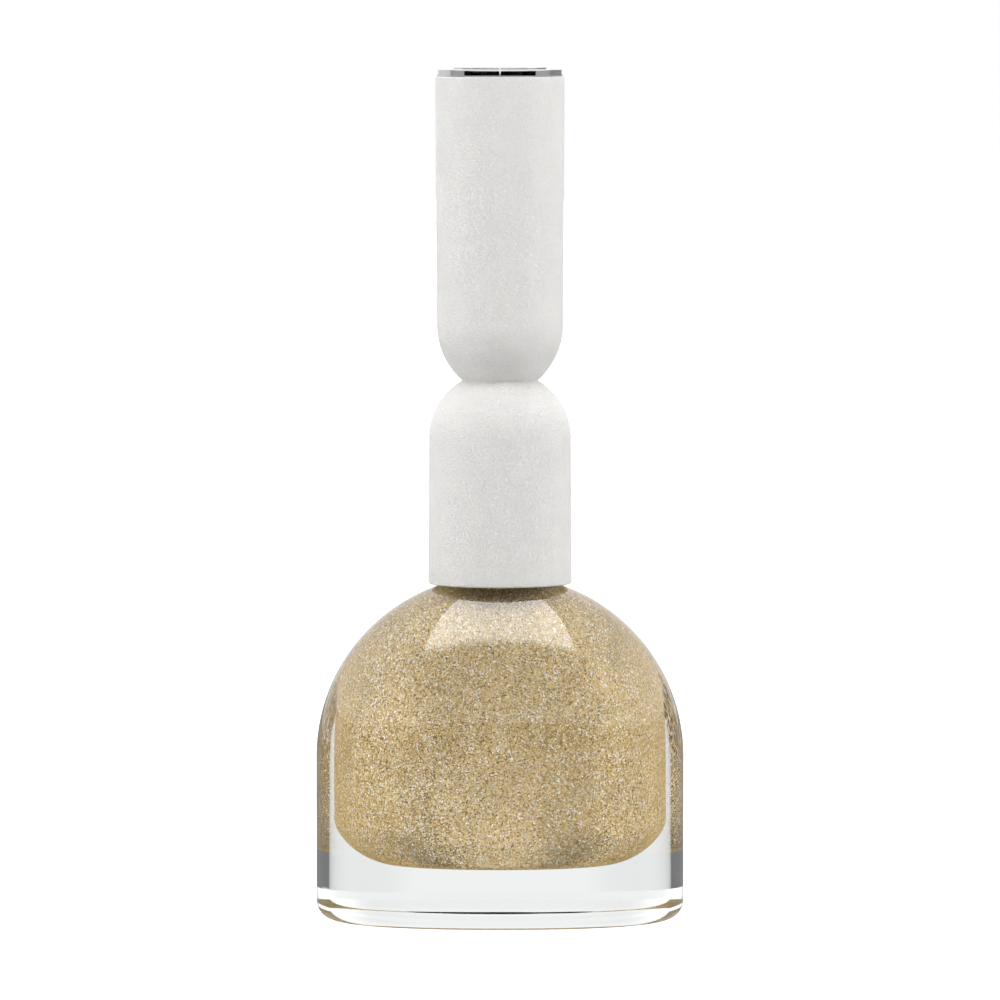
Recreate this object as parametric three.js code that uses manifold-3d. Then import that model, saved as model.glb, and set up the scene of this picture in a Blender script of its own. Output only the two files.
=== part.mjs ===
// A nail polish bottle, in millimetres, +Z up, standing on the origin: an oval half-round glass bottle of
// glitter lacquer, and a tall waisted cap that carries the brush. Each piece below is one named mesh.
import * as THREE from "three";
import { mergeVertices } from "three/addons/utils/BufferGeometryUtils.js";
import Module from "manifold-3d";

const wasm = await Module();
wasm.setup();

// Driving dimensions.
const SEGMENTS = 36; // round the axis
const FINE = 24; // round the stem and the well it stands in
const GAP = 0.3; // between pieces that touch
const bottle = { width: 41, depth: 28, squareness: 2.35, heel: 2.0 };
const dome = { shoulderZ: 18.1, rise: 20.25, endTurn: 73 };
const neck = { root: 5.3, crest: 6.0, bore: 3.7, footZ: 38.2, rimZ: 47.6, lip: 0.4, mouth: 0.3 };
const wall = { side: 5.9, floorZ: 6.4, topZ: 36.6, domeEnd: 75, corner: 4.7 };
const push = { rise: 0.55, flat: 9.4, edgeRise: 0.33, radius: 15.6, run: 1.0 };
const thread = { pitch: 2.4, turns: 1.5, startZ: 40.4, width: 1.3, runIn: 4, fade: 0.1, standOff: 0.2 };
const skirt = { bottomZ: 37.4, radius: 8.0, topRadius: 7.91, domeRadius: 7.34, bore: 7.35, lip: 0.2 };
const waist = { radius: 4.2, z: 60.05, web: 2.2, core: 2.2, coreDepth: 1 };
const barrel = { bottomRadius: 7.05, topRadius: 7.17, swellRadius: 8.36, topZ: 93.85 };
const core = { radius: 4.6, lowTaperZ: 56.2, highTaperZ: 67.05, seat: 1 };
const plate = { radius: 7.06, rim: 0.75, recess: 0.4, edge: 0.1, lift: 0.05 };
const plug = { radius: 5.4, wall: 0.7, depth: 3.5, leadIn: 0.4, point: 0.2 };
const badge = { radius: 5.3, proud: 0.3, chamfer: 0.12, clearance: 0.1 };
const insert = { threadDepth: 0.55, outer: 6.95, roof: 1.4, inset: 0.5 };
const rib = { count: 12, depth: 0.15, width: 0.6, margin: 1 };
const stem = { flange: 5.2, flangeThick: 1.1, top: 2.0, tip: 1.85, tipZ: 22, bevel: 0.1 };
const stud = { radius: 1.6, head: 2.2, barb: 0.4, headHeight: 1.4, point: 1.4 };
const socket = { radius: 1.4, depth: 4.2 };
const liner = { thick: 0.8 };
const tuft = { root: 1.1, wide: 2.1, flat: 1.25, tipZ: 10.8, well: 0.7, wellFoot: 0.9 };
const anchor = { width: 2.5, thick: 0.4, height: 0.8, play: 0.25, down: 1.2 };
const ball = { radius: 1.75, trackY: 3, restX: [-5, 4], reach: 8 };

// Sizes and heights that follow from them.
const halfWidth = bottle.width / 2;
const halfDepth = bottle.depth / 2;
const cavityWidth = halfWidth - wall.side;
const linerZ = neck.rimZ + GAP;
const flangeZ = linerZ + liner.thick + GAP;
const flangeTop = flangeZ + stem.flangeThick;
const roofZ = flangeTop + GAP;
const roofTop = roofZ + insert.roof;
const ceilingZ = roofTop + 2 * GAP;
const insertZ = skirt.bottomZ + insert.inset;
const insertBore = neck.crest + insert.threadDepth;
const plateZ = barrel.topZ + plate.lift;
const anchorZ = stem.tipZ + socket.depth - anchor.down;

// Points along an arc of an ellipse in the (radius, height) plane, from one angle to another, in degrees.
function arc(centreR, centreZ, radiusR, radiusZ, from, to, steps) {
  const points = [];
  for (let i = 0; i <= steps; i++) {
    const angle = THREE.MathUtils.degToRad(from + ((to - from) * i) / steps);
    points.push([centreR + radiusR * Math.cos(angle), centreZ + radiusZ * Math.sin(angle)]);
  }
  return points;
}

// A round solid: the profile runs up its outside from the axis or closes on itself.
function turned(profile, segments = SEGMENTS) {
  const points = profile.map(([radius, z]) => new THREE.Vector2(radius, z));
  return new THREE.LatheGeometry(points, segments).rotateX(Math.PI / 2);
}

function ring(inner, outer, lowZ, highZ, segments = SEGMENTS) {
  const profile = [[inner, lowZ], [outer, lowZ], [outer, highZ], [inner, highZ], [inner, lowZ]];
  return turned(profile, segments);
}

// A closed skin over rings of points, each with the same number of points, capped at both ends.
function skin(rings) {
  const count = rings[0].length;
  const positions = rings.flat().flatMap((p) => p.toArray());
  const index = [];
  for (let i = 0; i + 1 < rings.length; i++)
    for (let j = 0; j < count; j++) {
      const a = i * count + j;
      const b = i * count + ((j + 1) % count);
      index.push(a, b, b + count, a, b + count, a + count);
    }
  [0, rings.length - 1].forEach((end) => {
    const centre = new THREE.Vector3();
    rings[end].forEach((p) => centre.addScaledVector(p, 1 / count));
    const middle = positions.length / 3;
    positions.push(...centre.toArray());
    for (let j = 0; j < count; j++) {
      const a = end * count + j;
      const b = end * count + ((j + 1) % count);
      index.push(...(end === 0 ? [middle, b, a] : [middle, a, b]));
    }
  });
  const geometry = new THREE.BufferGeometry();
  geometry.setAttribute("position", new THREE.Float32BufferAttribute(positions, 3));
  geometry.setIndex(index);
  return geometry;
}

// An oval solid from a profile of half-widths. A section no wider than the neck is a circle, and a wider one
// flattens and squares up steadily until the full half-width has the full half-depth. A section with a
// clearance is that much inside the wall that follows the same rule.
function oval(profile, clearance = 0) {
  return skin(
    profile.map(([radius, z]) => {
      const share = Math.max(0, radius + clearance - neck.root) / (halfWidth - neck.root);
      const depth = radius - share * (halfWidth - halfDepth);
      const power = 2 / (2 + share * (bottle.squareness - 2));
      const squared = (value) => Math.sign(value) * Math.abs(value) ** power;
      return Array.from({ length: SEGMENTS }, (_, i) => {
        const angle = (2 * Math.PI * i) / SEGMENTS;
        return new THREE.Vector3(radius * squared(Math.cos(angle)), depth * squared(Math.sin(angle)), z);
      });
    }),
  );
}

// A helical ridge that rises out of its wall and sinks back: base and crest are its radii, and sunk is how
// far its foot is buried.
function helix(base, crest, sunk) {
  const steps = Math.round(thread.turns * SEGMENTS);
  const rings = [];
  for (let i = 0; i <= steps; i++) {
    const turn = (thread.turns * i) / steps;
    const rise = Math.min(1, Math.min(i, steps - i) / thread.runIn);
    const foot = base - sunk * Math.sign(crest - base);
    const top = foot + (crest - foot) * (thread.fade + (1 - thread.fade) * rise);
    const z = thread.startZ + thread.pitch * turn;
    const half = thread.width / 2;
    const section = [[foot, z - half], [top, z - half / 2], [top, z + half / 2], [foot, z + half]];
    if (crest > base) section.reverse();
    const angle = 2 * Math.PI * (turn + 0.5 / SEGMENTS); // half a segment off the wall's own corners
    rings.push(section.map(([r, h]) => new THREE.Vector3(r * Math.cos(angle), r * Math.sin(angle), h)));
  }
  return skin(rings);
}

// Boolean joins and cuts.
function solid(geometry) {
  const bare = geometry.clone();
  bare.deleteAttribute("normal");
  bare.deleteAttribute("uv");
  const merged = mergeVertices(bare, 1e-4);
  const vertProperties = new Float32Array(merged.attributes.position.array);
  const triVerts = new Uint32Array(merged.index.array);
  return new wasm.Manifold(new wasm.Mesh({ numProp: 3, vertProperties, triVerts }));
}

function joined(first, ...others) {
  return geometryOf(others.reduce((sum, other) => sum.add(solid(other)), solid(first)));
}

function cut(first, ...others) {
  return geometryOf(others.reduce((rest, other) => rest.subtract(solid(other)), solid(first)));
}

function geometryOf(manifold) {
  const { vertProperties, triVerts } = manifold.getMesh();
  const geometry = new THREE.BufferGeometry();
  geometry.setAttribute("position", new THREE.Float32BufferAttribute(vertProperties, 3));
  geometry.setIndex(Array.from(triVerts));
  geometry.computeVertexNormals();
  return geometry;
}

// The glass: push-up base, vertical sides, half-round dome and threaded neck outside, and inside a bore, a
// smaller dome and a floor with broad corners.
function glassBottle() {
  const outside = [
    [push.flat, push.rise],
    [push.radius, push.edgeRise],
    [push.radius + push.run, 0],
    ...arc(halfWidth - bottle.heel, bottle.heel, bottle.heel, bottle.heel, -90, 0, 4),
    ...arc(0, dome.shoulderZ, halfWidth, dome.rise, 0, dome.endTurn, 12),
    [neck.root, neck.footZ],
  ];
  const rim = [[neck.root, neck.rimZ - neck.lip], [neck.root - neck.lip, neck.rimZ]];
  const mouth = [[neck.bore + neck.mouth, neck.rimZ], [neck.bore, neck.rimZ - neck.mouth]];
  const boreFoot = [neck.bore, wall.topZ + 2 * GAP];
  const profile = [...outside, ...rim, ...mouth, boreFoot, ...cavity(0)];
  return joined(oval(profile), helix(neck.root, neck.crest, neck.lip));
}

// The cavity's profile, from the top of its dome down to its floor, with a clearance inside it.
function cavity(clearance) {
  const rise = wall.topZ - dome.shoulderZ;
  const roof = arc(0, dome.shoulderZ, cavityWidth - clearance, rise - clearance, wall.domeEnd, 0, 9);
  const cornerR = cavityWidth - wall.corner;
  const cornerZ = wall.floorZ + wall.corner;
  const corner = arc(cornerR, cornerZ, wall.corner - clearance, wall.corner - clearance, 0, -90, 5);
  return [...roof, ...corner];
}

// The liquid fills the cavity up to the foot of the neck. The well is where the brush stands, and the
// trough is the space that the mixing balls travel in.
function lacquer() {
  const body = oval(cavity(GAP).reverse(), GAP);
  const wellRadius = tuft.wide + tuft.well;
  const wellHeight = neck.rimZ - tuft.tipZ;
  const well = new THREE.CylinderGeometry(wellRadius, wellRadius, wellHeight, FINE).rotateX(Math.PI / 2);
  well.translate(0, 0, tuft.tipZ - tuft.wellFoot + wellHeight / 2);
  const troughLength = 2 * (ball.reach + ball.radius + GAP);
  const troughWidth = 2 * (ball.trackY + ball.radius + GAP);
  const troughHeight = 2 * ball.radius + 3 * GAP;
  const trough = new THREE.BoxGeometry(troughLength, troughWidth, 2 * troughHeight);
  trough.translate(0, 0, wall.floorZ + GAP);
  return cut(body, well, trough);
}

// The cap's outer shell: a skirt under a dome, a sharp waist, and a barrel that swells out of it. It is
// cored from both ends, up to a web at the waist.
function outerCap() {
  const domeCentre = skirt.topRadius - skirt.domeRadius;
  const domeTurn = Math.acos((waist.radius - domeCentre) / skirt.domeRadius);
  const domeZ = waist.z - skirt.domeRadius * Math.sin(domeTurn);
  const swellCentre = barrel.bottomRadius - barrel.swellRadius;
  const swellTurn = Math.acos((waist.radius - swellCentre) / barrel.swellRadius);
  const swellZ = waist.z + barrel.swellRadius * Math.sin(swellTurn);
  const degrees = THREE.MathUtils.radToDeg;
  const skirtBore = [
    [0, waist.z - waist.web / 2],
    [waist.core, waist.z - waist.web / 2],
    [waist.core, waist.z - waist.web - waist.coreDepth],
    [core.radius, core.lowTaperZ],
    [core.radius, ceilingZ],
    [skirt.bore, ceilingZ],
    [skirt.bore, skirt.bottomZ],
  ];
  const outside = [
    [skirt.radius - skirt.lip, skirt.bottomZ],
    [skirt.radius, skirt.bottomZ + skirt.lip],
    ...arc(domeCentre, domeZ, skirt.domeRadius, skirt.domeRadius, 0, degrees(domeTurn), 8),
    ...arc(swellCentre, swellZ, barrel.swellRadius, barrel.swellRadius, -degrees(swellTurn), 0, 7).slice(1),
    [barrel.topRadius, barrel.topZ - skirt.lip],
    [barrel.topRadius - skirt.lip, barrel.topZ],
  ];
  const handleBore = [
    [plug.radius + GAP, barrel.topZ],
    [plug.radius + GAP, barrel.topZ - plug.depth - core.seat],
    [core.radius, barrel.topZ - plug.depth - core.seat],
    [core.radius, core.highTaperZ],
    [waist.core, waist.z + waist.web + waist.coreDepth],
    [waist.core, waist.z + waist.web / 2],
    [0, waist.z + waist.web / 2],
  ];
  return turned([...skirtBore, ...outside, ...handleBore]);
}

// The threaded insert inside the skirt: grip ribs outside, a thread inside that stands off the neck's
// crest, and a roof with a hole for the stem's stud.
function innerCap() {
  const profile = [
    [stud.radius + GAP, roofZ],
    [insertBore, roofZ],
    [insertBore, insertZ],
    [insert.outer, insertZ],
    [insert.outer, roofTop],
    [stud.radius + GAP, roofTop],
    [stud.radius + GAP, roofZ],
  ];
  const ridge = helix(insertBore, neck.crest + thread.standOff, thread.standOff);
  const ribHeight = roofTop - insertZ - 2 * rib.margin;
  const ribs = Array.from({ length: rib.count }, (_, i) => {
    const bar = new THREE.BoxGeometry(2 * rib.depth, rib.width, ribHeight);
    bar.translate(insert.outer, 0, insertZ + rib.margin + ribHeight / 2);
    return bar.rotateZ((2 * Math.PI * i) / rib.count);
  });
  return joined(turned(profile), ridge, ...ribs);
}

// The bright end plate: a disc with a raised rim round the badge, on a plug ring that grips the bore.
function topPlate() {
  const rimTop = plateZ + plate.rim;
  const recessTop = rimTop - plate.recess;
  const plugFoot = barrel.topZ - plug.depth;
  return turned([
    [0, plateZ],
    [plug.radius - plug.wall, plateZ],
    [plug.radius - plug.wall, plugFoot],
    [plug.radius - plug.point, plugFoot],
    [plug.radius, plugFoot + plug.leadIn],
    [plug.radius, plateZ],
    [plate.radius, plateZ],
    [plate.radius, rimTop - plate.edge],
    [plate.radius - plate.edge, rimTop],
    [badge.radius + badge.clearance, rimTop],
    [badge.radius + badge.clearance, recessTop],
    [0, recessTop],
  ]);
}

function topBadge() {
  const top = plateZ + plate.rim + badge.proud;
  const foot = plateZ + plate.rim - plate.recess + badge.clearance;
  return turned([
    [0, foot],
    [badge.radius, foot],
    [badge.radius, top - badge.chamfer],
    [badge.radius - badge.chamfer, top],
    [0, top],
  ]);
}

// The brush's stem, from the socket at its tip up to its flange and the stud with its snap head.
function wandStem() {
  const headZ = roofTop + GAP;
  return turned(
    [
      [0, stem.tipZ + socket.depth],
      [socket.radius, stem.tipZ + socket.depth],
      [socket.radius, stem.tipZ],
      [stem.tip - stem.bevel, stem.tipZ],
      [stem.tip, stem.tipZ + 2 * stem.bevel],
      [stem.top, flangeZ],
      [stem.flange, flangeZ],
      [stem.flange, flangeTop],
      [stud.radius, flangeTop],
      [stud.radius, headZ],
      [stud.head, headZ],
      [stud.head, headZ + stud.barb],
      [stud.point, headZ + stud.headHeight],
      [0, headZ + stud.headHeight],
    ],
    FINE,
  );
}

// The bristles as one solid: a round root folded round the anchor, and a flat brush with a rounded end.
function bristleTuft() {
  const rootTop = stem.tipZ + socket.depth - GAP;
  const body = skin(
    [
      [0.62, 0.28, tuft.tipZ],
      [0.86, 0.66, tuft.tipZ + 0.5],
      [1, 0.9, tuft.tipZ + 1.6],
      [0.97, 1, tuft.tipZ + 4],
      [tuft.root / tuft.wide, tuft.root / tuft.flat, stem.tipZ - 0.4],
      [tuft.root / tuft.wide, tuft.root / tuft.flat, rootTop - 0.5],
      [0.3, 0.5, rootTop],
    ].map(([width, depth, z]) =>
      Array.from({ length: 20 }, (_, i) => {
        const angle = (2 * Math.PI * i) / 20;
        return new THREE.Vector3(
          tuft.wide * width * Math.cos(angle), tuft.flat * depth * Math.sin(angle), z);
      }),
    ),
  );
  const window = new THREE.BoxGeometry(4 * tuft.root, anchor.thick + 2 * anchor.play, anchor.height + GAP);
  return cut(body, window.translate(0, 0, anchorZ));
}

function anchorStaple() {
  return new THREE.BoxGeometry(anchor.width, anchor.thick, anchor.height).translate(0, 0, anchorZ);
}

function mixingBall() {
  return new THREE.SphereGeometry(ball.radius, 16, 10);
}

// Colour, roughness and metalness of each material.
const materials = {
  glass: { color: 0xf2f5f6, roughness: 0.03, metalness: 0, transparent: true, opacity: 0.35 },
  lacquer: { color: 0xb49d73, roughness: 0.35, metalness: 0.6 },
  softTouch: { color: 0xe9e8e6, roughness: 0.75, metalness: 0 },
  chrome: { color: 0xd8dadc, roughness: 0.06, metalness: 1 },
  plastic: { color: 0xd9d9d6, roughness: 0.45, metalness: 0 },
  blackPlastic: { color: 0x1c1c1e, roughness: 0.4, metalness: 0 },
  foam: { color: 0xf1f0ec, roughness: 0.9, metalness: 0 },
  bristle: { color: 0x2a2724, roughness: 0.6, metalness: 0 },
  steel: { color: 0xb9bcc0, roughness: 0.2, metalness: 1 },
};

const part = new THREE.Group();

function add(name, geometry, material, parent = part) {
  const mesh = new THREE.Mesh(geometry, new THREE.MeshStandardMaterial(materials[material]));
  mesh.name = name;
  parent.add(mesh);
  return mesh;
}

// The bottle and what stays in it.
add("glass_bottle", glassBottle(), "glass");
add("lacquer", lacquer(), "lacquer");
ball.restX.forEach((x, i) => {
  const side = i === 0 ? -1 : 1;
  const mesh = add("mixing_ball_" + (i + 1), mixingBall(), "steel");
  mesh.position.set(x, side * ball.trackY, wall.floorZ + GAP + ball.radius);
});

// The cap and the brush, which lift out together.
const closure = new THREE.Group();
part.add(closure);
add("outer_cap", outerCap(), "softTouch", closure);
add("inner_cap", innerCap(), "plastic", closure);
add("top_plate", topPlate(), "chrome", closure);
add("top_badge", topBadge(), "chrome", closure);
add("wand_stem", wandStem(), "blackPlastic", closure);
add("seal_liner", ring(stem.top + GAP, stem.flange, linerZ, linerZ + liner.thick), "foam", closure);
add("bristle_tuft", bristleTuft(), "bristle", closure);
add("anchor_staple", anchorStaple(), "steel", closure);

export default part;
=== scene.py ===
"""A nail polish bottle: gold glitter in a clear half-round bottle, under a tall waisted white cap that
carries its brush. Shapes are in millimetres, and the studio in metres."""

import bpy
import numpy as np
from math import acos, cos, degrees, pi, radians, sin, sqrt, tan
from mathutils import Matrix, Vector

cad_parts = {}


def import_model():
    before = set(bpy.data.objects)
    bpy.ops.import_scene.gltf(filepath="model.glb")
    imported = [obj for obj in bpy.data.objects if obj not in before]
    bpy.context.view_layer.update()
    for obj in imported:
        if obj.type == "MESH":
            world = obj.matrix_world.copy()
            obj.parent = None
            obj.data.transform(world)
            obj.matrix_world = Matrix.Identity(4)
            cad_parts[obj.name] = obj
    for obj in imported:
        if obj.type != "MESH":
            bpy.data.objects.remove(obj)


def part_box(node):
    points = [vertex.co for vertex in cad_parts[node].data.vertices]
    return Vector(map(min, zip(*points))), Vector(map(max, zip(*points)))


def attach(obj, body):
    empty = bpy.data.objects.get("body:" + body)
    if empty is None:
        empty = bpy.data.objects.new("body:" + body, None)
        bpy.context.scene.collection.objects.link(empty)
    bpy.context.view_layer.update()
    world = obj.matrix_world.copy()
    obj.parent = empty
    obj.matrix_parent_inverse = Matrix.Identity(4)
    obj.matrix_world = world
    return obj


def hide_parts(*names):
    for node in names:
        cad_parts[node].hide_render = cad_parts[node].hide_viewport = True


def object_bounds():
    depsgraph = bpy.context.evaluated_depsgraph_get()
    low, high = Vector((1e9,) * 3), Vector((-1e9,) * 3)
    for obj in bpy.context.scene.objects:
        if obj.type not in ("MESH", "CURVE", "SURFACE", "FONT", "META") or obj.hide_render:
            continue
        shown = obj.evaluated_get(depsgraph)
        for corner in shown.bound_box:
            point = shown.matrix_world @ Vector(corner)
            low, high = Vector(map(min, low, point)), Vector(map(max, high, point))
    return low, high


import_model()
cad_low, cad_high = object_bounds()
MM = 0.001

# ---------------------------------------------------------------- sizes, in millimetres


def size_of(node):
    """A CAD node's lowest and highest corner, in millimetres."""
    low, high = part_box(node)
    return low / MM, high / MM


bottle_high = size_of("glass_bottle")[1]
lacquer_low, lacquer_high = size_of("lacquer")
cap_low, cap_high = size_of("outer_cap")
insert_low, insert_high = size_of("inner_cap")
plate_low, plate_high = size_of("top_plate")
badge_low, badge_high = size_of("top_badge")
stem_low, stem_high = size_of("wand_stem")
liner_low, liner_high = size_of("seal_liner")
tuft_low, tuft_high = size_of("bristle_tuft")
anchor_low, anchor_high = size_of("anchor_staple")

GAP = 0.3  # what the CAD leaves between pieces that touch
HALF_WIDTH = bottle_high.x
HALF_DEPTH = bottle_high.y
RIM_Z = bottle_high.z
SQUARENESS = 2.35  # the full oval's exponent: 2 would be an ellipse
SHOULDER_Z = 18.1
DOME_RISE = 20.25
HEEL = 2.0
NECK_ROOT = 5.3
NECK_CREST = 6.0
NECK_BORE = 3.7
NECK_FOOT_Z = 38.2
PUSH_RADIUS = 15.6
PUSH_RISE = 0.55
PUSH_FLAT = 9.4
PUSH_EDGE = 0.33
CAVITY_WIDTH = lacquer_high.x + GAP
CAVITY_FLOOR = lacquer_low.z - GAP
CAVITY_TOP = 36.6
CAVITY_CORNER = 4.7
FILL_Z = 37.5  # the lacquer's level, in the foot of the neck
WETTING = 0.05  # how far the lacquer reaches into the glass, so that no air shows between them
THREAD_PITCH = 2.4
THREAD_TURNS = 1.5
THREAD_START = 40.4
THREAD_WIDTH = 1.7
WAIST_Z = cap_high.z - 33.8
WAIST_RADIUS = 4.2
SKIRT_TOP_RADIUS = cap_high.x - 0.09
SKIRT_DOME = 7.34
SWELL_RADIUS = 8.36
BARREL_FOOT_RADIUS = 7.05
BARREL_TOP_RADIUS = 7.17
STEM_TIP_RADIUS = 1.85
STEM_TOP_RADIUS = 2.0
SOCKET_RADIUS = 1.4
STUD_HEAD_RADIUS = 2.2
AXIS = 0.01  # where a turned outline meets the axis: just off it, so that the flat end closes to a point
HUB = 0.5  # the same for the two wide oval ones
WIDE_STEPS = 256  # points round a wide piece
SLIM_STEPS = 128  # and round a slim one

# ---------------------------------------------------------------- shapes


def arc(centre_r, centre_z, radius_r, radius_z, start, end, steps):
    """Points along an arc of an ellipse in the (radius, height) plane, angles in degrees."""
    turns = np.radians(np.linspace(start, end, steps + 1))
    return [(centre_r + radius_r * cos(t), centre_z + radius_z * sin(t)) for t in turns]


def rounded(corners, steps=5):
    """The path through (radius, height, rounding) corners; a corner without rounding stays as it is."""
    path = []
    for i, corner in enumerate(corners):
        here = Vector(corner[:2])
        rounding = corner[2] if len(corner) > 2 else 0
        if not rounding:
            path.append(tuple(here))
            continue
        back = (Vector(corners[i - 1][:2]) - here).normalized()
        ahead = (Vector(corners[i + 1][:2]) - here).normalized()
        half = back.angle(ahead) / 2
        centre = here + (back + ahead).normalized() * rounding / sin(half)
        start = here + back * rounding / tan(half) - centre
        end = here + ahead * rounding / tan(half) - centre
        for k in range(steps + 1):
            path.append(tuple(centre + start.lerp(end, k / steps).normalized() * rounding))
    return path


def refined(path, step):
    """The same path with no stretch longer than step."""
    fine = [path[0]]
    for (r0, z0), (r1, z1) in zip(path, path[1:]):
        pieces = max(1, int(np.ceil(sqrt((r1 - r0) ** 2 + (z1 - z0) ** 2) / step)))
        fine += [(r0 + (r1 - r0) * k / pieces, z0 + (z1 - z0) * k / pieces) for k in range(1, pieces + 1)]
    return fine


def circle(radius):
    """A round section: its half-depth and its exponent."""
    return radius, 2


def oval(half_width):
    """The bottle's section at a half-width: round at the neck, then steadily flatter and squarer."""
    share = max(0, half_width - NECK_ROOT) / (HALF_WIDTH - NECK_ROOT)
    return half_width - share * (HALF_WIDTH - HALF_DEPTH), 2 + share * (SQUARENESS - 2)


def rings_round(path, segments, section=circle):
    """One ring of points for each (half-width, height) of a path."""
    turn = np.linspace(0, 2 * pi, segments, endpoint=False)
    across, through = np.cos(turn), np.sin(turn)
    rings = np.empty((len(path), segments, 3))
    for ring, (half_width, z) in zip(rings, path):
        half_depth, exponent = section(half_width)
        ring[:, 0] = half_width * np.sign(across) * np.abs(across) ** (2 / exponent)
        ring[:, 1] = half_depth * np.sign(through) * np.abs(through) ** (2 / exponent)
        ring[:, 2] = z
    return rings


def threaded(rings, height, width):
    """Moves the rings' points out by a helical ridge, or in if height is negative."""
    flank = 1.9  # how steep the ridge's sides are: 1 would make it a plain triangle
    run_out = 9  # and how steeply, for each turn, it starts and ends
    x, y, z = rings[..., 0], rings[..., 1], rings[..., 2]
    radius = np.hypot(x, y)
    turn = np.arctan2(y, x) / (2 * pi) % 1
    lift = np.zeros_like(radius)
    for k in range(int(THREAD_TURNS) + 1):
        along = turn + k
        above = np.abs(z - THREAD_START - THREAD_PITCH * along) / (width / 2)
        fade = np.clip(np.minimum(along, THREAD_TURNS - along) * run_out, 0, 1)
        lift = np.maximum(lift, np.clip(flank * (1 - above), 0, 1) * fade)
    lift = lift * lift * (3 - 2 * lift)
    grow = 1 + height * lift / radius
    rings[..., 0] *= grow
    rings[..., 1] *= grow
    return rings


def added(name, data):
    """A new object in the scene."""
    item = bpy.data.objects.new(name, data)
    bpy.context.scene.collection.objects.link(item)
    return item


def smooth(name, points, faces, sharp):
    """A smooth mesh from points in millimetres, creased where faces meet at more than sharp degrees."""
    mesh = bpy.data.meshes.new(name)
    mesh.from_pydata([Vector(point) * MM for point in points], [], faces)
    mesh.validate()
    mesh.shade_smooth()
    mesh.set_sharp_from_angle(angle=radians(sharp))
    return added(name, mesh)


def skinned(name, rings, sharp=40, loop=False):
    """A skin over rings of points: capped at both ends, or closed on itself if loop."""
    count, segments = rings.shape[:2]
    points = list(rings.reshape(-1, 3))
    faces = []
    for i in range(count if loop else count - 1):
        low, high = i * segments, (i + 1) % count * segments
        for j in range(segments):
            k = (j + 1) % segments
            faces.append((low + j, low + k, high + k, high + j))
    if not loop:
        for end, order in ((0, -1), (count - 1, 1)):
            points.append(rings[end].mean(0))
            ring = [end * segments + j for j in range(segments)][::order]
            faces += [(len(points) - 1, a, b) for a, b in zip(ring, ring[1:] + ring[:1])]
    return smooth(name, points, faces, sharp)


def turned(name, path, segments=WIDE_STEPS):
    """A solid of revolution from a path that starts and ends at the axis, or that closes on itself."""
    if path[0] == path[-1]:
        return skinned(name, rings_round(path[:-1], segments), loop=True)
    return skinned(name, rings_round(path, segments))


def placed(piece, body, slot, material, *nodes):
    """The piece rides on its body, takes its material, and stands for its CAD nodes."""
    piece.data.materials.append(material)
    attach(piece, body)
    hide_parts(*nodes)
    return piece


# ---------------------------------------------------------------- materials

FLAKE = 0.12  # the size of a gold flake
SILVER_FLAKE = 0.145
FLAKE_TIP = 4.5  # how far the flakes tip


class Nodes:
    """The node tree of a material or world, with short ways to add nodes, link them and do sums."""

    def __init__(self, owner):
        owner.use_nodes = True
        self.tree = owner.node_tree

    def add(self, kind, inputs=None, **settings):
        node = self.tree.nodes.new(kind)
        for key, value in settings.items():
            setattr(node, key, value)
        for key, value in (inputs or {}).items():
            self.put(node.inputs[key], value)
        return node

    def put(self, socket, value):
        """Links the input to an output, or sets it to a plain value."""
        if isinstance(value, bpy.types.NodeSocket):
            self.tree.links.new(value, socket)
        else:
            socket.default_value = value

    def span(self, value, low, high, to_low=0.0, to_high=1.0, **settings):
        """Maps the stretch between low and high onto the one between to_low and to_high, and stops at its
        ends."""
        node = self.add("ShaderNodeMapRange", {"Value": value, "From Min": low, "From Max": high,
                                               "To Min": to_low, "To Max": to_high}, **settings)
        return node.outputs["Result"]

    def math(self, operation, a, b=0.0):
        return self.add("ShaderNodeMath", {0: a, 1: b}, operation=operation).outputs[0]

    def light_path(self):
        return self.add("ShaderNodeLightPath").outputs

    def mirrored_first(self):
        """1 in what polished glass mirrors before any light has passed into it, and 0 elsewhere."""
        path = self.light_path()
        return self.math("MULTIPLY", self.math("LESS_THAN", path["Ray Depth"], 1.5), path["Is Singular Ray"])


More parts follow.
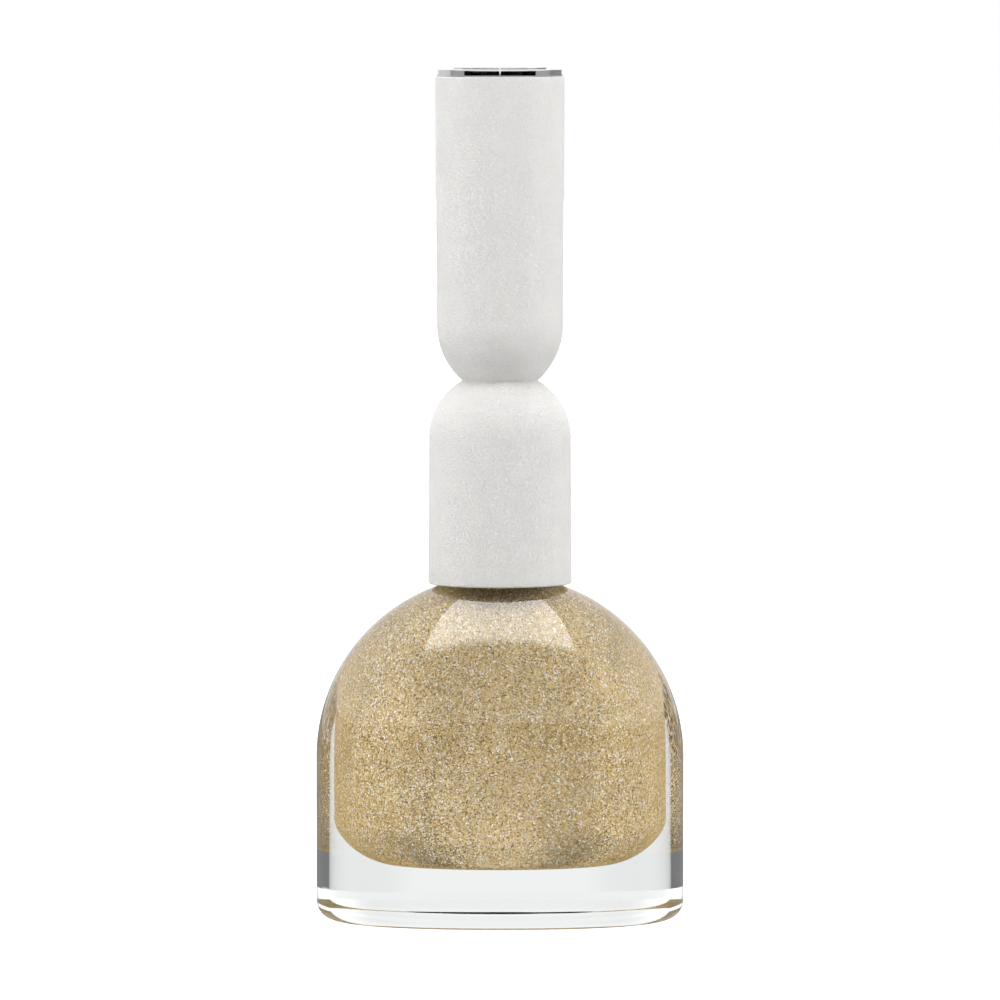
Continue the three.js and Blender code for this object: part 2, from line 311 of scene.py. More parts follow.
class Graph(Nodes):
    """A Principled material whose patterns are laid out in the object's own space."""

    def __init__(self, name):
        self.material = bpy.data.materials.new(name)
        super().__init__(self.material)
        self.shader = self.tree.nodes["Principled BSDF"]
        self.space = self.add("ShaderNodeTexCoord").outputs["Object"]

    def set(self, **values):
        """Sets or links the shader's sockets, named with underscores for spaces."""
        for key, value in values.items():
            self.put(self.shader.inputs[key.replace("_", " ")], value)

    def noise(self, size_mm, detail=2.0, roughness=0.5, distortion=0.0):
        scale = 1 / (size_mm * MM)
        node = self.add("ShaderNodeTexNoise", {"Vector": self.space, "Scale": scale, "Detail": detail,
                                               "Roughness": roughness, "Distortion": distortion})
        return node.outputs["Fac"]

    def cells(self, size_mm):
        return self.add("ShaderNodeTexVoronoi", {"Vector": self.space, "Scale": 1 / (size_mm * MM)})

    def channel(self, colour, name):
        return self.add("ShaderNodeSeparateColor", {"Color": colour}).outputs[name]

    def grey(self, value):
        return self.add("ShaderNodeCombineColor", {0: value, 1: value, 2: value}).outputs[0]

    def height(self):
        return self.add("ShaderNodeSeparateXYZ", {"Vector": self.space}).outputs["Z"]

    def ramp(self, fac, *stops):
        """A colour ramp: each stop is (position, colour or grey)."""
        node = self.add("ShaderNodeValToRGB", {"Fac": fac})
        points = node.color_ramp.elements
        while len(points) < len(stops):
            points.new(0.5)
        for point, (position, colour) in zip(points, stops):
            point.position = position
            point.color = (*colour, 1) if isinstance(colour, tuple) else (colour, colour, colour, 1)
        return node.outputs["Color"]

    def mix(self, fac, a, b, blend="MIX"):
        node = self.add("ShaderNodeMix", {0: fac, 6: a, 7: b}, data_type="RGBA", blend_type=blend)
        return node.outputs[2]

    def bump(self, height, depth_mm):
        inputs = {"Height": height, "Distance": depth_mm * MM, "Strength": 1.0}
        return self.add("ShaderNodeBump", inputs).outputs["Normal"]

    def vector(self, operation, *inputs):
        return self.add("ShaderNodeVectorMath", dict(enumerate(inputs)), operation=operation).outputs[0]


def clear_glass():
    """Polished glass that bends what is seen through it and lets the lamps' light through."""
    g = Graph("clear_glass")
    ripple = g.noise(7.0, 1.0)
    g.set(Base_Color=(0.96, 0.985, 0.98, 1), Roughness=0.0, IOR=1.52, Transmission_Weight=1.0)
    g.set(Normal=g.bump(ripple, 0.02))
    passing = g.add("ShaderNodeBsdfTransparent", {"Color": (0.94, 0.96, 0.955, 1)})
    both = g.add("ShaderNodeMixShader", {0: g.light_path()["Is Shadow Ray"], 1: g.shader.outputs[0],
                                         2: passing.outputs[0]})
    g.put(g.tree.nodes["Material Output"].inputs["Surface"], both.outputs[0])
    return g.material


def flake_normal(g, cells):
    """The surface's normal, tipped a different way in each flake: most only a little, a few by far more."""
    normal = g.add("ShaderNodeNewGeometry").outputs["Normal"]
    tip = g.vector("SUBTRACT", cells.outputs["Color"], (0.5, 0.5, 0.5))
    cube = g.vector("MULTIPLY", tip, g.vector("MULTIPLY", tip, tip))
    return g.vector("NORMALIZE", g.vector("MULTIPLY_ADD", cube, (FLAKE_TIP,) * 3, normal))


def gold_glitter(g):
    """Colour and normal of the glitter: fine champagne flakes among sparser, larger silver-white ones, with
    painted shade that makes them brighter low down and darker towards the top."""
    fine, large = g.cells(FLAKE), g.cells(SILVER_FLAKE)
    pick = g.channel(fine.outputs["Color"], "Red")
    gold = g.ramp(pick, (0.0, (0.26, 0.18, 0.08)), (0.2, (0.54, 0.36, 0.13)), (0.5, (0.69, 0.51, 0.26)),
                  (0.8, (0.82, 0.60, 0.29)), (1.0, (0.96, 0.88, 0.76)))
    silver = g.span(g.channel(large.outputs["Color"], "Green"), 0.91, 0.94)
    flakes = g.mix(silver, gold, (1.0, 0.97, 0.92, 1))
    # painted shade: the glitter's colour is brightened low down and darkened towards the top, by height alone
    painted_height_shade = g.span(g.height(), 9 * MM, 29 * MM, 1.12, 0.84)
    clouds = g.span(g.noise(6.0), 0.3, 0.7, 0.88, 1.06)
    colour = g.mix(1.0, flakes, g.grey(g.math("MULTIPLY", painted_height_shade, clouds)), "MULTIPLY")
    return colour, flake_normal(g, fine)


def lacquer_material():
    """The glitter as it lies against the glass, more metal than paint."""
    g = Graph("gold_lacquer")
    colour, normal = gold_glitter(g)
    g.set(Base_Color=colour, Metallic=0.7, Roughness=0.3, Specular_IOR_Level=0.0, Normal=normal)
    g.set(Specular_Tint=(0.8, 0.64, 0.38, 1))
    return g.material


def soft_touch():
    """Off-white matte coating over a fine leathery grain."""
    g = Graph("soft_touch_white")
    swirl = g.noise(0.26, distortion=0.9)
    wrinkle = g.span(g.math("ABSOLUTE", g.math("SUBTRACT", swirl, 0.5)), 0.0, 0.12)
    grain = g.noise(0.2, 3.0, 0.6)
    mottle = g.noise(2.6, 3.0)
    height = g.math("ADD", g.math("MULTIPLY", wrinkle, 0.5), g.math("MULTIPLY", grain, 0.7))
    tone = g.math("ADD", g.math("MULTIPLY", mottle, 0.25), g.math("MULTIPLY", grain, 0.75))
    g.set(Base_Color=g.ramp(tone, (0.3, (0.745, 0.735, 0.715)), (0.7, (0.855, 0.845, 0.825))))
    g.set(Roughness=g.span(grain, 0.3, 0.7, 0.52, 0.72), Specular_IOR_Level=0.4)
    g.set(Sheen_Weight=0.08, Sheen_Roughness=0.5)
    g.set(Normal=g.bump(height, 0.098))
    return g.material


def bright_chrome():
    """Polished plating with a faint haze."""
    g = Graph("bright_chrome")
    haze = g.noise(1.4, 4.0)
    g.set(Base_Color=g.ramp(haze, (0.35, (0.70, 0.71, 0.72)), (0.65, (0.78, 0.785, 0.79))))
    g.set(Metallic=1.0, Roughness=g.span(haze, 0.3, 0.7, 0.04, 0.1), Normal=g.bump(g.noise(0.5), 0.0006))
    return g.material


def moulded(name, colour, lighter, roughness, grain_mm=0.3, depth_mm=0.004):
    """Plain moulded plastic with a faint texture and a little unevenness in colour and gloss."""
    g = Graph(name)
    drift = g.noise(3.0)
    grain = g.noise(grain_mm, 3.0)
    g.set(Base_Color=g.mix(g.span(drift, 0.3, 0.7), (*colour, 1), (*lighter, 1)))
    g.set(Roughness=g.span(grain, 0.3, 0.7, roughness - 0.06, roughness + 0.06))
    g.set(Normal=g.bump(grain, depth_mm))
    return g.material


def dipped(name, colour, roughness, dry_z, wet_z):
    """A dark plastic that carries a wet film of the glitter, with a wandering upper edge."""
    g = Graph(name)
    wander = g.math("MULTIPLY", g.noise(1.8), 1.2 * MM)
    wet = g.span(g.math("ADD", g.height(), wander), dry_z * MM, wet_z * MM)
    glitter, normal = gold_glitter(g)
    g.set(Base_Color=g.mix(wet, (*colour, 1), glitter), Metallic=g.math("MULTIPLY", wet, 0.7))
    g.set(Roughness=roughness, Normal=normal, Coat_Weight=g.math("MULTIPLY", wet, 0.6), Coat_Roughness=0.08)
    return g.material


def bare_steel():
    """Plain bright steel, finely scuffed."""
    g = Graph("steel")
    scuff = g.noise(0.25, 4.0)
    g.set(Base_Color=g.ramp(scuff, (0.3, 0.45), (0.7, 0.58)), Metallic=1.0)
    g.set(Roughness=g.span(scuff, 0.3, 0.7, 0.16, 0.28), Normal=g.bump(scuff, 0.002))
    return g.material


GLASS = clear_glass()
LACQUER = lacquer_material()
SOFT_TOUCH = soft_touch()
CHROME = bright_chrome()
INSERT = moulded("natural_plastic", (0.62, 0.62, 0.6), (0.7, 0.7, 0.68), 0.42)
STEM = dipped("stem_plastic", (0.012, 0.012, 0.013), 0.3, FILL_Z, FILL_Z - 1.5)
LINER = moulded("liner_foam", (0.7, 0.69, 0.66), (0.78, 0.77, 0.74), 0.85, 0.12, 0.03)
BRISTLE = dipped("bristle", (0.03, 0.026, 0.022), 0.42, stem_low.z + 3, stem_low.z + 1)
STEEL = bare_steel()

# ---------------------------------------------------------------- the bottle and what stays in it


def cavity_path(grow=0.0):
    """The cavity's outline from the top of its dome down to the edge of its flat floor."""
    dome_end = degrees(acos(NECK_BORE / CAVITY_WIDTH))
    rise = CAVITY_TOP - SHOULDER_Z
    corner_r = CAVITY_WIDTH - CAVITY_CORNER
    corner_z = CAVITY_FLOOR + CAVITY_CORNER
    radius = CAVITY_CORNER + grow
    dome = arc(0, SHOULDER_Z, CAVITY_WIDTH + grow, rise + grow, dome_end, 0, 48)
    return dome + arc(corner_r, corner_z, radius, radius, 0, -90, 20)


def bottle_glass():
    """One skin: push-up, heel, outer dome, threaded neck, rim, bore and cavity."""
    dome_end = 70  # degrees up the dome's arc, where the foot of the neck begins
    neck_low, neck_high = NECK_FOOT_Z + 1, RIM_Z - 0.5
    bore_high = RIM_Z - 2
    push = rounded([(HUB, PUSH_RISE), (PUSH_FLAT, PUSH_RISE, 8.0), (PUSH_RADIUS, PUSH_EDGE, 1.5),
                    (PUSH_RADIUS + 1, 0, 0.5), (HALF_WIDTH - HEEL, 0)])
    heel = arc(HALF_WIDTH - HEEL, HEEL, HEEL, HEEL, -90, 0, 10)
    dome = arc(0, SHOULDER_Z, HALF_WIDTH, DOME_RISE, 0, dome_end, 72)
    foot = rounded([dome[-1], (NECK_ROOT + 0.25, NECK_FOOT_Z - 0.45, 0.5), (NECK_ROOT, neck_low)])
    neck = refined([(NECK_ROOT, neck_low), (NECK_ROOT, neck_high)], 0.12)
    rim = rounded([(NECK_ROOT, neck_high), (NECK_ROOT, RIM_Z, 0.4), (NECK_BORE, RIM_Z, 0.35),
                   (NECK_BORE, bore_high)])
    bore = refined([(NECK_BORE, bore_high), (NECK_BORE, CAVITY_TOP + 1)], 1.0)
    shell = rings_round(push + heel[1:] + dome[1:] + foot[1:], WIDE_STEPS, oval)
    finish = threaded(rings_round(neck[1:], WIDE_STEPS), NECK_CREST - NECK_ROOT, THREAD_WIDTH)
    hollow = rings_round(rim[1:] + bore[1:] + cavity_path(), WIDE_STEPS, oval)
    piece = skinned("bottle_glass", np.concatenate([shell, finish, hollow]), sharp=50)
    return placed(piece, "bottle", "clear_glass", GLASS, "glass_bottle")


def lacquer_fill():
    """The liquid, wetting the glass, with a meniscus where it climbs the neck's wall."""
    wall = NECK_BORE + WETTING
    meniscus = [(HUB, FILL_Z), (wall - 0.7, FILL_Z), (wall - 0.25, FILL_Z + 0.12), (wall, FILL_Z + 0.45)]
    path = cavity_path(WETTING)[::-1] + [(wall, CAVITY_TOP + 0.4)] + meniscus[::-1]
    piece = skinned("lacquer_fill", rings_round(path, WIDE_STEPS, oval))
    return placed(piece, "bottle", "gold_lacquer", LACQUER, "lacquer")


def mixing_ball(number):
    """A steel ball where its CAD node lies."""
    pole = 0.02  # the turn from the axis at which its rings start and end
    node = f"mixing_ball_{number}"
    low, high = size_of(node)
    centre = (low + high) / 2
    radius = (high.z - low.z) / 2
    path = [(radius * sin(t), centre.z - radius * cos(t)) for t in np.linspace(pole, pi - pole, 40)]
    piece = skinned(f"steel_ball_{number}", rings_round(path, 64))
    piece.data.transform(Matrix.Translation(Vector((centre.x, centre.y, 0)) * MM))
    return placed(piece, f"ball_{number}", "steel", STEEL, node)


# ---------------------------------------------------------------- the cap


def outer_cap():
    """A skirt under a dome, a sharp waist, and a barrel that swells out of it, cored from both ends."""
    ceiling = insert_high.z + 0.6
    skirt_bore = 7.35
    bore = plate_high.x - 2.46
    core_tip, web = 2.2, 1.1  # the cores' radius next to the waist, and half the web that they leave
    narrow, wide_below, wide_above = 3.2, 3.85, 7  # how far from the waist they start and end widening
    seat, seat_depth = 5.7, 4.5  # where the end plate's plug goes in
    dome_centre = SKIRT_TOP_RADIUS - SKIRT_DOME
    dome_turn = acos((WAIST_RADIUS - dome_centre) / SKIRT_DOME)
    dome_z = WAIST_Z - SKIRT_DOME * sin(dome_turn)
    swell_centre = BARREL_FOOT_RADIUS - SWELL_RADIUS
    swell_turn = acos((WAIST_RADIUS - swell_centre) / SWELL_RADIUS)
    swell_z = WAIST_Z + SWELL_RADIUS * sin(swell_turn)
    skirt = rounded([(AXIS, WAIST_Z - web), (core_tip, WAIST_Z - web, 0.5), (core_tip, WAIST_Z - narrow),
                     (bore, WAIST_Z - wide_below), (bore, ceiling, 0.3), (skirt_bore, ceiling, 0.3),
                     (skirt_bore, cap_low.z, 0.15), (cap_high.x, cap_low.z, 0.22),
                     (cap_high.x, cap_low.z + 1)])
    dome = arc(dome_centre, dome_z, SKIRT_DOME, SKIRT_DOME, 0, degrees(dome_turn), 40)
    swell = arc(swell_centre, swell_z, SWELL_RADIUS, SWELL_RADIUS, -degrees(swell_turn), 0, 36)
    top = rounded([(BARREL_TOP_RADIUS, cap_high.z - 1), (BARREL_TOP_RADIUS, cap_high.z, 0.16),
                   (seat, cap_high.z, 0.1), (seat, cap_high.z - seat_depth), (bore, cap_high.z - seat_depth),
                   (bore, WAIST_Z + wide_above), (core_tip, WAIST_Z + narrow), (core_tip, WAIST_Z + web, 0.5),
                   (AXIS, WAIST_Z + web)])
    piece = turned("cap_shell", skirt + dome + swell[1:] + top)
    return placed(piece, "cap", "soft_touch_white", SOFT_TOUCH, "outer_cap")


def inner_cap():
    """The threaded insert: fine grip ribs outside, a thread inside and a hole for the stem's stud."""
    steps = 192
    bore = NECK_CREST + 0.55
    outer = 6.95
    roof = liner_high.z + 1.7
    hole = 1.9
    thread_depth = 0.35
    thread_low, thread_high = insert_low.z + 0.3, roof - 0.4
    rib_low, rib_high = insert_low.z + 0.8, insert_high.z - 0.8
    hole_high = insert_high.z - 0.2
    rib_count, rib_share = 24, 0.02  # the ribs stand out by this share of the radius
    wall = refined([(bore, thread_high), (bore, thread_low)], 0.12)
    inside = rounded([(hole, hole_high), (hole, roof), (bore, roof, 0.3), (bore, thread_high)])
    outside = rounded([(bore, thread_low), (bore, insert_low.z, 0.15), (outer, insert_low.z, 0.2),
                       (outer, rib_low)])
    barrel = refined([(outer, rib_low), (outer, rib_high)], 1.0)
    top = rounded([(outer, rib_high), (outer, insert_high.z, 0.25), (hole, insert_high.z, 0.15),
                   (hole, hole_high)])
    ridged = threaded(rings_round(wall, steps), -thread_depth, THREAD_WIDTH)
    ribbed = rings_round(barrel[1:-1], steps)
    turn = np.linspace(0, 2 * pi, steps, endpoint=False)
    ribbed[..., :2] *= (1 + rib_share * np.clip(np.cos(rib_count * turn), 0, 1) ** 2)[None, :, None]
    rings = [rings_round(inside, steps), ridged[1:], rings_round(outside[1:], steps), ribbed,
             rings_round(top[:-1], steps)]
    piece = skinned("threaded_insert", np.concatenate(rings), loop=True)
    return placed(piece, "cap", "natural_plastic", INSERT, "inner_cap")


def top_plate():
    """The plated end disc, with its raised rim round the badge and the plug ring beneath."""
    seat = cap_high.z + 0.05
    rim = plate_high.z
    recess = rim - 0.4
    well = badge_high.x + 0.1
    plug, plug_wall = 5.4, 0.7
    path = rounded([(AXIS, seat), (plug - plug_wall, seat, 0.2), (plug - plug_wall, plate_low.z, 0.15),
                    (plug, plate_low.z, 0.3), (plug, seat, 0.1), (plate_high.x, seat, 0.05),
                    (plate_high.x, rim, 0.07), (well, rim, 0.06), (well, recess, 0.05), (AXIS, recess)])
    return placed(turned("end_plate", path), "cap", "bright_chrome", CHROME, "top_plate")


def top_badge():
    """A plain raised disc with one turned groove near its edge."""
    foot, top, edge = badge_low.z, badge_high.z, badge_high.x
    groove = top - 0.12
    path = rounded([(AXIS, foot), (edge, foot, 0.05), (edge, top, 0.14), (edge - 0.75, top, 0.05),
                    (edge - 0.85, groove, 0.03), (edge - 1.05, groove, 0.03), (edge - 1.15, top, 0.05),
                    (AXIS, top)])
    return placed(turned("end_badge", path), "cap", "bright_chrome", CHROME, "top_badge")


def wand_stem():
    """The stem with its flange, stud and snap head, and the socket at its tip."""
    tip = stem_low.z
    socket_end = tip + 4.2
    flange = liner_high.z + GAP
    flange_top = flange + 1.1
    head = insert_high.z + GAP
    stud = 1.6
    path = rounded([(AXIS, socket_end), (SOCKET_RADIUS, socket_end, 0.15), (SOCKET_RADIUS, tip, 0.12),
                    (STEM_TIP_RADIUS, tip, 0.2), (STEM_TOP_RADIUS, flange, 0.25), (stem_high.x, flange, 0.15),
                    (stem_high.x, flange_top, 0.2), (stud, flange_top, 0.15), (stud, head, 0.1),
                    (STUD_HEAD_RADIUS, head, 0.1), (STUD_HEAD_RADIUS, head + 0.4, 0.1),
                    (1.4, stem_high.z, 0.2), (AXIS, stem_high.z)])
    return placed(turned("brush_stem", path, SLIM_STEPS), "cap", "stem_plastic", STEM, "wand_stem")


def seal_liner():
    """The flat foam ring under the stem's flange."""
    low, high, edge = liner_low.z, liner_high.z, liner_high.x
    middle = (low + high) / 2
    inner = STEM_TOP_RADIUS + GAP
    path = rounded([(inner, middle), (inner, low, 0.15), (edge, low, 0.2), (edge, high, 0.2),
                    (inner, high, 0.15), (inner, middle)])
    return placed(turned("liner_ring", path, SLIM_STEPS), "seal", "liner_foam", LINER, "seal_liner")


def bristles():
    """Fine filaments, packed in the socket and spreading into a flat brush with a rounded end."""
    count, sides, steps = 300, 6, 12
    filament = 0.055
    taper_from, taper = 0.8, 0.55  # how far along a filament starts to thin, and by how much it does
    round_x, round_y, ragged = 1.5, 0.5, 0.25  # how much shorter filaments end at the sides, and at random
    opening = 0.72  # how soon the tuft reaches its full spread
    rng = np.random.default_rng(7)
    spot = np.sqrt((np.arange(count) + 0.5) / count)
    around = np.arange(count) * pi * (3 - sqrt(5))
    across, through = spot * np.cos(around), spot * np.sin(around)
    root_top, mouth, tip = tuft_high.z - 0.3, stem_low.z, tuft_low.z
    root = 1.05
    spread_x, spread_y = (size - filament - root - 0.1 for size in (tuft_high.x, tuft_high.y))
    points, faces = [], []
    for i in range(count):
        end = tip + round_x * across[i] ** 2 + round_y * through[i] ** 2 + ragged * rng.random()
        stray = rng.normal(0, 0.03, 2)
        for k in range(steps + 1):
            share = k / steps
            z = root_top + (end - root_top) * share
            out = np.clip((mouth + 0.4 - z) / (mouth - tip), 0, 1)
            swell = sin(pi * min(out * opening, 0.5))
            x = across[i] * (root + spread_x * swell) + stray[0] * out
            y = through[i] * (root + spread_y * swell) + stray[1] * out
            thin = filament * (1 - taper * max(0, share - taper_from) / (1 - taper_from))
            for s in range(sides):
                turn = 2 * pi * s / sides
                points.append((x + thin * cos(turn), y + thin * sin(turn), z))
        base = len(points) - sides * (steps + 1)
        for k in range(steps):
            low, high = base + k * sides, base + (k + 1) * sides
            for s in range(sides):
                t = (s + 1) % sides
                faces.append((low + s, high + s, high + t, low + t))
        faces.append(tuple(base + s for s in range(sides)))
        faces.append(tuple(base + steps * sides + s for s in reversed(range(sides))))
    return placed(smooth("bristles", points, faces, 70), "cap", "bristle", BRISTLE, "bristle_tuft")


def anchor():
    """The flat anchor that the bristles fold round, its long edges rounded."""
    half = (anchor_high - anchor_low) / 2
    middle_z = (anchor_high.z + anchor_low.z) / 2
    corner = 0.08
    outline = []
    for side, end in ((1, -1), (1, 1), (-1, 1), (-1, -1)):
        turns = np.linspace(0, pi / 2, 4) if side == end else np.linspace(pi / 2, 0, 4)
        for turn in turns:
            y = side * (half.y - corner * (1 - cos(turn)))
            outline.append((y, middle_z + end * (half.z - corner * (1 - sin(turn)))))
    rings = np.array([[(x, y, z) for y, z in outline] for x in np.linspace(-half.x, half.x, 5)])
    return placed(skinned("anchor_plate", rings), "cap", "steel", STEEL, "anchor_staple")


bottle_glass()
lacquer_fill()
for number in (1, 2):
    mixing_ball(number)
outer_cap()
inner_cap()
top_plate()
top_badge()
wand_stem()
seal_liner()
bristles()
anchor()

# ---------------------------------------------------------------- studio, lights and camera

FRONT_LIGHT = 1.05
BACK_LIGHT = 0.92
LIT_SHARE = 1.22  # how much brighter the surroundings are for what isn't polished
TOP_LIGHT = 0.4  # more than the back, from straight above
GAP_SHARE = 0.6  # how much dimmer it is in front, between the lamps and the horizon
SIDE_SEEN = 0.6  # more than the back, low at either side, in what the glass bends
MIRRORED_SHARE = 0.35  # how much of its surroundings polished glass mirrors before any light passes into it
FLOOR_THROWN = 0.38  # the floor's albedo for the soft light that it throws back up
FLOOR_SEEN = 0.9  # its brightness through polished glass
FLOOR_FRONT = 1.35  # and that of its front half
FLOOR_DARK = 0.12  # and that of two dark patches, to either side of the front
PATCH_TURN = (32, 78)  # where they start and end, in degrees from straight in front
PATCH_SOFTNESS = 14  # the degrees over which they fade in and out
PATCH_REACH = 0.6  # how far from the bottle they end, having faded from PATCH_FADE of that on
PATCH_FADE = 0.6
SIDE_TURN = 100  # how far round the floor has faded from its front half's brightness to the rest's
FLOOR_HALF = 4  # half its side, in metres


def staged(name, points, faces, material, unseen_by=()):
    """A mesh of the studio's, not of the bottle's, in metres, and the kinds of ray that pass it by."""
    mesh = bpy.data.meshes.new(name)
    mesh.from_pydata(points, [], faces)
    mesh.materials.append(material)
    item = added(name, mesh)
    for kind in unseen_by:
        setattr(item, f"visible_{kind}", False)
    return item


def square(half):
    """The corners of a level square, and its one face."""
    return [(-half, -half, 0), (half, -half, 0), (half, half, 0), (-half, half, 0)], [(0, 1, 2, 3)]


def studio():
    """A floor that throws soft light back up. Polished glass sees it at a set brightness, with two dark
    patches in front, and the camera sees it plain white."""
    g = Graph("studio_white")
    path = g.light_path()
    place = g.add("ShaderNodeSeparateXYZ", {"Vector": g.space}).outputs
    away = g.add("ShaderNodeVectorMath", {0: g.space}, operation="LENGTH").outputs["Value"]
    turn = g.math("ARCTAN2", g.math("ABSOLUTE", place["X"]), g.math("MULTIPLY", place["Y"], -1.0))
    start, end = (radians(angle) for angle in PATCH_TURN)
    soft = radians(PATCH_SOFTNESS)
    patch = g.math("MULTIPLY", g.span(turn, start, start + soft), g.span(turn, end, end - soft))
    patch = g.math("MULTIPLY", patch, g.span(away, PATCH_REACH, PATCH_REACH * PATCH_FADE))
    plain = g.span(turn, radians(SIDE_TURN), end, FLOOR_SEEN, FLOOR_FRONT)
    seen = g.add("ShaderNodeMix", {0: patch, 2: plain, 3: FLOOR_DARK}).outputs[0]
    seen = g.math("MULTIPLY", seen, g.span(g.mirrored_first(), 0, 1, 1, MIRRORED_SHARE))
    seen = g.math("MULTIPLY", path["Is Singular Ray"], seen)
    g.set(Base_Color=g.grey(g.span(path["Is Singular Ray"], 0, 1, FLOOR_THROWN, 0)))
    g.set(Roughness=0.9, Specular_IOR_Level=0.0, Emission_Color=(1, 1, 1, 1))
    g.set(Emission_Strength=g.math("MAXIMUM", path["Is Camera Ray"], seen))
    g.material.cycles.emission_sampling = "NONE"
    staged("studio_floor", *square(FLOOR_HALF), g.material)


def glowing(name):
    """A plain white emission material: itself, its nodes and its strength socket."""
    material = bpy.data.materials.new(name)
    nodes = Nodes(material)
    nodes.tree.nodes.clear()
    lamp = nodes.add("ShaderNodeEmission")
    nodes.add("ShaderNodeOutputMaterial", {"Surface": lamp.outputs[0]})
    return material, nodes, lamp.inputs["Strength"]


def softbox(name, place, size, strength, aim):
    """A lamp panel that faces a point and lights dull things: brightest in its middle, faded at its edges."""
    material, nodes, power = glowing(name)
    space = nodes.add("ShaderNodeTexCoord").outputs["Object"]
    ball = nodes.add("ShaderNodeTexGradient", {"Vector": space}, gradient_type="QUADRATIC_SPHERE")
    nodes.put(power, nodes.span(ball.outputs["Fac"], 0, 1, 0, strength))
    panel = staged(name, *square(1), material, unseen_by=("camera", "glossy", "transmission"))
    panel.location = place
    panel.scale = (size[0] / 2, size[1] / 2, 1)
    panel.rotation_euler = (Vector(aim) - Vector(place)).to_track_quat("Z", "Y").to_euler()


def canopy(name, z, front, back, bow, fade, strength, mirrored):
    """A level lamp that only shiny things see: front and back are each an edge's half-width and its y, and
    the front edge bows forwards, with its light fading out over a share of the way to the back one.
    Polished glass mirrors it brighter than the glitter does."""
    material, nodes, power = glowing(name)
    level = nodes.span(nodes.mirrored_first(), 0, 1, strength, mirrored)
    glow = nodes.add("ShaderNodeAttribute", attribute_name="glow").outputs["Fac"]
    nodes.put(power, nodes.math("MULTIPLY", level, glow))
    columns = 13
    points, faces = [], []
    for share in (0, fade, 1):
        for x in np.linspace(-1, 1, columns):
            near = Vector((front[0] * x, front[1] - bow * (1 - x * x), z))
            points.append(near.lerp(Vector((back[0] * x, back[1], z)), share))
    for row in (0, columns):
        for i in range(row, row + columns - 1):
            faces.append((i, i + 1, i + columns + 1, i + columns))
    lamp = staged(name, points, faces, material, unseen_by=("camera", "diffuse", "shadow"))
    glows = [0] * columns + [1] * 2 * columns
    lamp.data.attributes.new("glow", "FLOAT", "POINT").data.foreach_set("value", glows)


def strip(name, start, end, strength, sides=(-1, 1)):
    """A band at either side, level with the cap's end, that is only seen mirrored. It runs between two turns
    from straight in front, in degrees."""
    material, nodes, power = glowing(name)
    nodes.put(power, strength)
    radius, low, high, steps = 0.6, 0.02, 0.14, 16
    points, faces = [], []
    for side in sides:
        first = len(points)
        for turn in np.radians(np.linspace(start, end, steps + 1) * side):
            points += [(radius * sin(turn), -radius * cos(turn), z) for z in (low, high)]
        for i in range(first, first + 2 * steps, 2):
            faces.append((i, i + 1, i + 3, i + 2))
    staged(name, points, faces, material, unseen_by=("camera", "diffuse", "shadow", "transmission"))


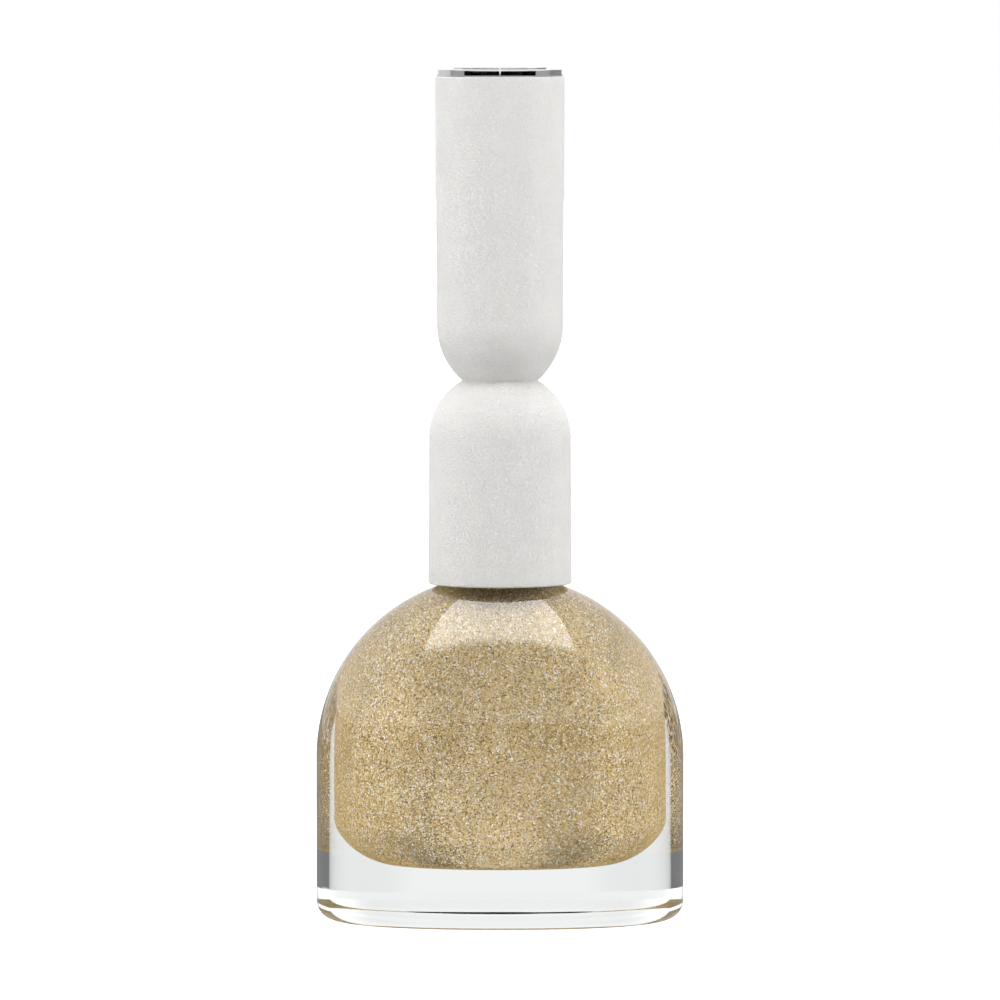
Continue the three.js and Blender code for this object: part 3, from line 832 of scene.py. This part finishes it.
def world():
    """White behind, brighter above and to the sides, dimmer in front, and plain white as a backdrop."""
    sky = bpy.data.worlds.new("studio_world")
    bpy.context.scene.world = sky
    g = Nodes(sky)
    path = g.light_path()
    around = g.add("ShaderNodeTexCoord").outputs["Generated"]
    toward = g.add("ShaderNodeSeparateXYZ", {0: around}).outputs  # the parts of a vector of length 1

    def eased(axis, low, high, to_low, to_high):
        return g.span(axis, low, high, to_low, to_high, interpolation_type="SMOOTHSTEP")

    above = eased(toward["Z"], 0.15, 0.45, 0, GAP_SHARE)
    gap = g.math("MULTIPLY", above, eased(toward["Z"], 0.95, 0.7, 0, 1))
    gap = g.math("MULTIPLY", gap, eased(toward["Y"], 0, -0.3, 0, 1))
    depth = eased(toward["Y"], -1, 0.2, FRONT_LIGHT, BACK_LIGHT)
    level = g.math("MULTIPLY", depth, g.math("SUBTRACT", 1.0, gap))
    level = g.math("ADD", level, eased(toward["Z"], 0.1, 0.95, 0, TOP_LIGHT))
    beside = eased(g.math("ABSOLUTE", toward["X"]), 0.4, 0.9, 0, SIDE_SEEN)
    level = g.math("ADD", level, g.math("MULTIPLY", beside, path["Is Singular Ray"]))
    level = g.math("MULTIPLY", level, g.span(g.mirrored_first(), 0, 1, 1, MIRRORED_SHARE))
    level = g.math("MULTIPLY", level, g.span(path["Is Singular Ray"], 0, 1, LIT_SHARE, 1))
    shown = g.add("ShaderNodeMix", {0: path["Is Camera Ray"], 2: level, 3: 1.0}).outputs[0]
    background = g.tree.nodes["Background"].inputs
    g.put(background["Strength"], shown)
    g.put(background["Color"], (1, 1, 1, 1))


def camera():
    """Square on to the wide side, from just above the cap's top."""
    distance, height, aim_z, across = 0.85, 0.097, 0.0467, 0.1113
    lens = bpy.data.cameras.new("camera")
    lens.sensor_width = 36
    lens.lens = lens.sensor_width * distance / across
    lens.clip_start, lens.clip_end = 0.01, 20
    eye = added("camera", lens)
    eye.location = (0, -distance, height)
    eye.rotation_euler = (Vector((0, 0, aim_z)) - eye.location).to_track_quat("-Z", "Y").to_euler()
    bpy.context.scene.camera = eye


studio()
world()
MIDDLE = (0, 0, cad_high.z / 2)
softbox("overhead", place=(0, -0.14, 0.33), size=(0.45, 0.34), strength=9.0, aim=MIDDLE)
for name, side in (("left", -1), ("right", 1)):
    softbox(f"{name}_lamp", place=(side * 0.5, -0.12, 0.15), size=(0.5, 0.5), strength=15.0, aim=MIDDLE)
canopy("canopy_lamp", z=0.34, front=(0.235, -0.205), back=(0.085, 0.14), bow=0.08, fade=0.13,
       strength=1.5, mirrored=6.6)
strip("black_strip", start=1.2, end=68, strength=0.0)
strip("grey_strip", start=68, end=102, strength=0.42)
strip("pale_strip", start=102, end=150, strength=0.75, sides=(-1,))
strip("dim_strip", start=102, end=150, strength=0.3, sides=(1,))
camera()
bpy.context.scene.view_settings.view_transform = "Standard"
bpy.context.scene.view_settings.look = "None"
